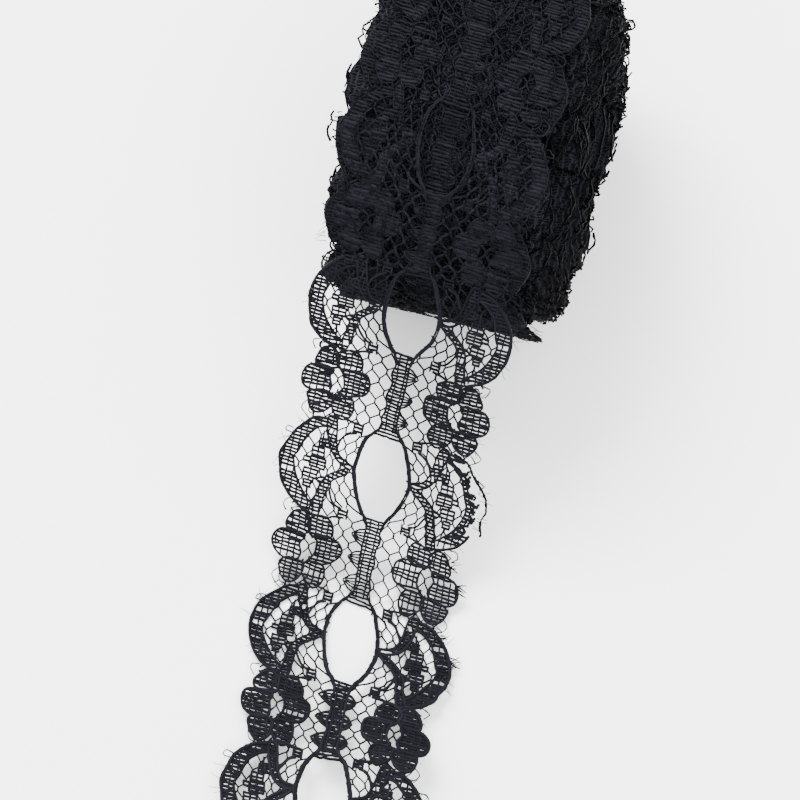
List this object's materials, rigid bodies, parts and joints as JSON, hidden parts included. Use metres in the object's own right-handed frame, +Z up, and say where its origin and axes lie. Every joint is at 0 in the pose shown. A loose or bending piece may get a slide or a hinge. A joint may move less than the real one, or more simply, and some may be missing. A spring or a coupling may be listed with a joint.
{
  "type": "roll of lace trim",
  "caption": "Soft coreless roll of black scalloped lace trim with oval eyelets and flowers, standing on its rounded side, its loose end sloping down to the table.",
  "frame": {"origin": "middle of the small flat spot on the underside of the roll", "axes": "+X along the roll's axis, -Y the way the loose end runs, +Z up"},
  "size_m": [0.053, 0.2043, 0.0715],
  "materials": {
    "lace_wound": "black synthetic lace, many turns deep, soft sheen",
    "lace_strip": "black synthetic lace, fine knitted threads, soft sheen"
  },
  "bodies": {
    "root": {"wound_roll": "lace_wound", "loose_end": "lace_strip"}
  },
  "joints": []
}
